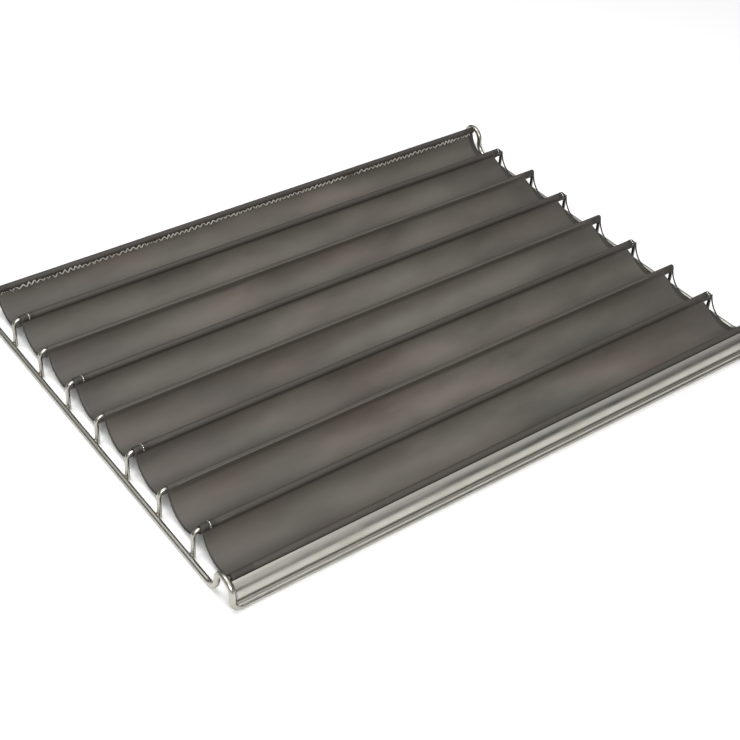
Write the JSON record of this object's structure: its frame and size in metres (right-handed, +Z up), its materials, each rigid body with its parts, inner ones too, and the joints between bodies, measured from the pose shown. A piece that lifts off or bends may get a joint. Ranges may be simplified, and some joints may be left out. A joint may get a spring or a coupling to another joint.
{
  "type": "baguette tray",
  "caption": "Oblong baking tray of coated cloth hung over a welded wire frame in long parallel channels, with raised rounded corners and one sheet side rail.",
  "frame": {"origin": "middle of the tray's outline on the surface it stands on", "axes": "+X along the channels, +Y across them from the side rail to the open long side, +Z up"},
  "size_m": [0.8, 0.6, 0.0421],
  "materials": {
    "wire_steel": "dull drawn stainless wire",
    "rail_steel": "brushed stainless sheet",
    "ring_steel": "bright wire",
    "cloth": "satin silicone-coated woven glass cloth",
    "sleeve_cloth": "darker sewn double cloth"
  },
  "bodies": {
    "root": {"back_hem": "sleeve_cloth", "back_lower_rod": "wire_steel", "back_top_rod": "wire_steel", "cloth_panel_1": "cloth", "cloth_panel_2": "cloth", "cloth_panel_3": "cloth", "cloth_panel_4": "cloth", "cloth_panel_5": "cloth", "crest_sleeve_1": "sleeve_cloth", "crest_sleeve_2": "sleeve_cloth", "crest_sleeve_3": "sleeve_cloth", "crest_sleeve_4": "sleeve_cloth", "crest_wire_1": "wire_steel", "crest_wire_2": "wire_steel", "crest_wire_3": "wire_steel", "crest_wire_4": "wire_steel", "crest_wire_5": "wire_steel", "crest_wire_6": "wire_steel", "crest_wire_7": "wire_steel", "cross_rod_1": "wire_steel", "cross_rod_2": "wire_steel", "front_hem": "sleeve_cloth", "front_lower_rod": "wire_steel", "front_side_rail": "rail_steel", "front_top_rod": "wire_steel", "left_end_wire": "wire_steel", "retaining_rings": "ring_steel", "right_end_wire": "wire_steel", "support_posts": "wire_steel"}
  },
  "joints": []
}
